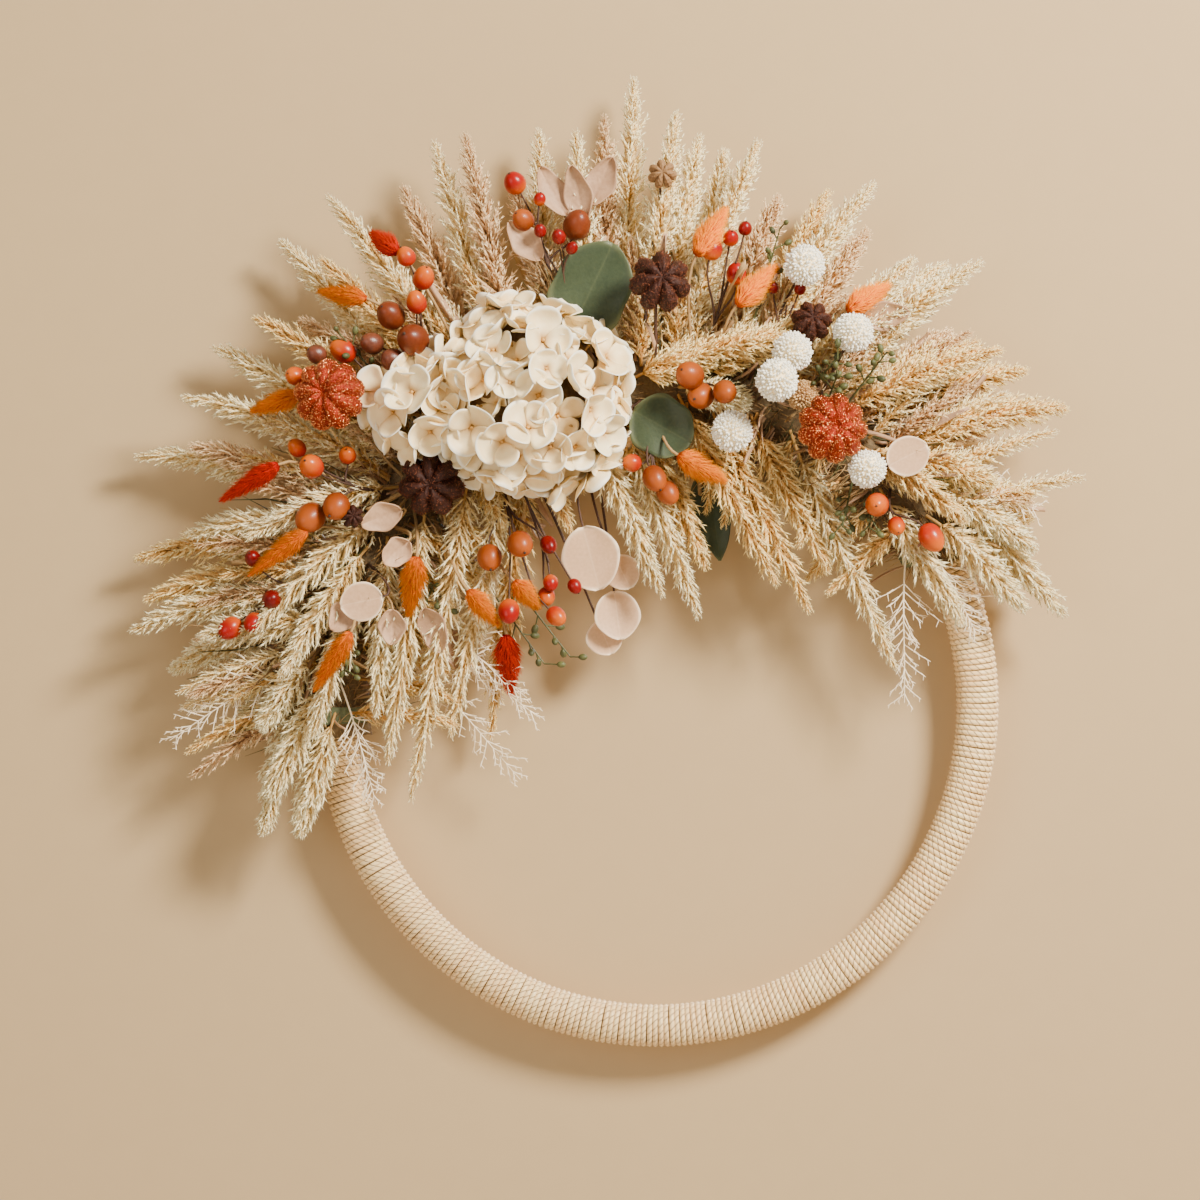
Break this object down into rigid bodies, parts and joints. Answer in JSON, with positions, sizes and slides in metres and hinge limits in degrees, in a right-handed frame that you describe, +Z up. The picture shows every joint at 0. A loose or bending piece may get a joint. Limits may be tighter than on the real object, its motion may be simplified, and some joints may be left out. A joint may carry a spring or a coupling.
{
  "type": "harvest door wreath",
  "caption": "Cord-wrapped hoop wreath with an off-centre swag of cream hydrangea, grass plumes, berries, pods and mini pumpkins; hangs from a hinged ring.",
  "frame": {"origin": "where the wall hook bears, at the inside top of the hanging ring", "axes": "+Z up, -Y out of the wall to the front of the wreath, +Y into the wall, +X to the viewer's right"},
  "size_m": [0.5457, 0.1096, 0.5668],
  "materials": {
    "cane": "satin",
    "jute_cord": "satin twisted cord",
    "moss_base": "matt",
    "felt": "matt",
    "florist_tape": "matt",
    "plated_steel": "polished",
    "cream_petal": "soft matt",
    "green_leaf": "satin",
    "copper_glitter": "glitter",
    "brown_pod": "rough",
    "white_ball": "bristled",
    "tan_ball": "bristled",
    "orange_tail": "fluffy",
    "red_tail": "fluffy",
    "orange_berry": "gloss",
    "terracotta_berry": "satin",
    "blush_disc": "translucent satin",
    "straw_plume": "feathery matt"
  },
  "bodies": {
    "wreath": {"ball_flower_inner": "white_ball", "ball_flower_middle": "white_ball", "ball_flower_outer": "white_ball", "ball_flower_right": "white_ball", "ball_flower_tan": "tan_ball", "ball_flower_top": "white_ball", "ball_flower_upper": "white_ball", "berry_spray_bottom": "orange_berry", "berry_spray_centre": "terracotta_berry", "berry_spray_left": "orange_berry", "berry_spray_right": "orange_berry", "berry_spray_top": "orange_berry", "berry_spray_upper_left": "orange_berry", "binding_band_left": "florist_tape", "binding_band_right": "florist_tape", "brown_pod_left": "brown_pod", "brown_pod_right": "brown_pod", "brown_pod_top": "brown_pod", "bunny_tail_inner": "orange_tail", "bunny_tail_left": "orange_tail", "bunny_tail_low": "red_tail", "bunny_tail_right": "orange_tail", "bunny_tail_top": "orange_tail", "bunny_tail_upper": "orange_tail", "felt_backing_left": "felt", "felt_backing_right": "felt", "glitter_pumpkin_left": "copper_glitter", "glitter_pumpkin_right": "copper_glitter", "hanger_screw": "plated_steel", "hanger_strap": "plated_steel", "hoop_core": "cane", "hydrangea_head": "cream_petal", "jute_wrap": "jute_cord", "leaf_low": "green_leaf", "leaf_right": "green_leaf", "leaf_top": "green_leaf", "paper_disc_lower": "blush_disc", "paper_disc_upper": "blush_disc", "plume_middle_01": "straw_plume", "plume_middle_02": "straw_plume", "plume_middle_03": "straw_plume", "plume_middle_04": "straw_plume", "plume_middle_05": "straw_plume", "plume_middle_06": "straw_plume", "plume_middle_07": "straw_plume", "plume_rear_01": "straw_plume", "plume_rear_02": "straw_plume", "plume_rear_03": "straw_plume", "plume_rear_04": "straw_plume", "plume_rear_05": "straw_plume", "plume_rear_06": "straw_plume", "plume_rear_07": "straw_plume", "plume_rear_08": "straw_plume", "plume_rear_09": "straw_plume", "plume_rear_10": "straw_plume", "plume_rear_11": "straw_plume", "plume_rear_12": "straw_plume", "plume_rear_13": "straw_plume", "swag_base": "moss_base"},
    "hanging_ring": {"hanger_ring": "plated_steel"}
  },
  "joints": [
    {"name": "hanging_ring_hinge", "type": "hinge", "parent": "wreath", "child": "hanging_ring", "pos_m": [0, 0, -0.0108], "axis": [-1, 0, 0], "range_deg": [0, 170]}
  ]
}
